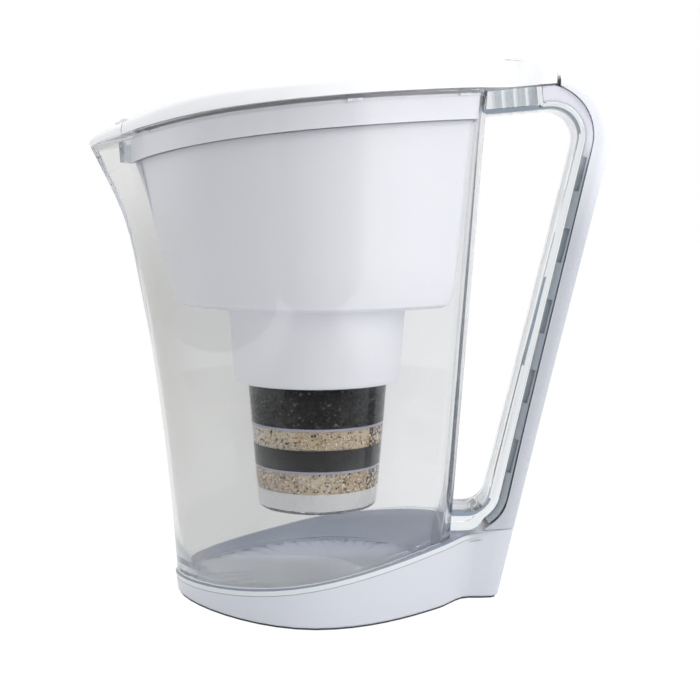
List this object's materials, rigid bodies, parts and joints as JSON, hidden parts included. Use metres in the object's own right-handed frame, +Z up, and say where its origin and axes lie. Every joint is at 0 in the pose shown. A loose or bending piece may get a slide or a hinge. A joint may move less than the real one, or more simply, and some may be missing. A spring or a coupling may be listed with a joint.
{
  "type": "water filter pitcher",
  "caption": "Clear water filter pitcher with a white hopper, a layered filter cartridge, a looped handle, a domed lid with a filling flap and a spout flap.",
  "frame": {"origin": "middle of the bounding box on the plane that the pitcher stands on", "axes": "+Z up, +X towards the handle, the spout at -X"},
  "size_m": [0.2564, 0.1388, 0.2692],
  "materials": {
    "clear_plastic": "clear polished plastic with a slight grey-green tint",
    "clear_handle": "clear polished plastic",
    "clear_cup": "clear polished plastic",
    "spine_grey": "smooth blue-grey plastic",
    "cover_white": "smooth bluish white plastic",
    "base_grey": "smooth pale blue-grey plastic",
    "ring_dark": "dark soft rubber",
    "lid_white": "smooth white plastic",
    "hopper_white": "slightly translucent white plastic",
    "cap_white": "smooth white plastic",
    "seal_grey": "soft light grey silicone",
    "pad_white": "pressed white fibre",
    "separator_lilac": "thin grey-lilac fibre disc",
    "carbon_black": "black granules with a few shiny specks",
    "fine_black": "fine dark granules",
    "mineral_tan": "tan, cream and brown mineral grit",
    "pin_steel": "smooth steel"
  },
  "bodies": {
    "jug": {"jug_body": "clear_plastic", "spout_guard": "clear_plastic", "handle_frame": "clear_handle", "handle_spine": "spine_grey", "handle_cover": "cover_white", "base_shell": "base_grey", "base_plate": "base_grey", "non_slip_ring": "ring_dark"},
    "hopper": {"hopper": "hopper_white", "hopper_rim": "hopper_white", "filter_well": "hopper_white"},
    "cartridge": {"cartridge_cup": "clear_cup", "cartridge_cap": "cap_white", "cartridge_seal": "seal_grey", "top_pad": "pad_white", "media_carbon": "carbon_black", "separator_upper": "separator_lilac", "media_mineral_upper": "mineral_tan", "media_fine_carbon": "fine_black", "separator_lower": "separator_lilac", "media_mineral_lower": "mineral_tan", "filter_pad": "pad_white"},
    "lid": {"lid_cover": "lid_white", "lid_rib": "lid_white", "fill_flap_pin": "pin_steel", "spout_flap_pin": "pin_steel"},
    "fill_flap": {"fill_flap": "lid_white"},
    "spout_flap": {"spout_flap": "lid_white"}
  },
  "joints": [
    {"name": "hopper_lift", "type": "slide", "parent": "jug", "child": "hopper", "axis": [0, 0, 1], "range_m": [0, 0.21]},
    {"name": "lid_lift", "type": "slide", "parent": "hopper", "child": "lid", "axis": [0, 0, 1], "range_m": [0, 0.1]},
    {"name": "cartridge_lift", "type": "slide", "parent": "hopper", "child": "cartridge", "axis": [0, 0, 1], "range_m": [0, 0.08]},
    {"name": "fill_flap_hinge", "type": "hinge", "parent": "lid", "child": "fill_flap", "pos_m": [-0.046, 0, 0.25258], "axis": [0, -1, 0], "range_deg": [0, 95]},
    {"name": "spout_flap_hinge", "type": "hinge", "parent": "lid", "child": "spout_flap", "pos_m": [-0.11, 0, 0.23462], "axis": [0, 1, 0], "range_deg": [0, 60]}
  ]
}
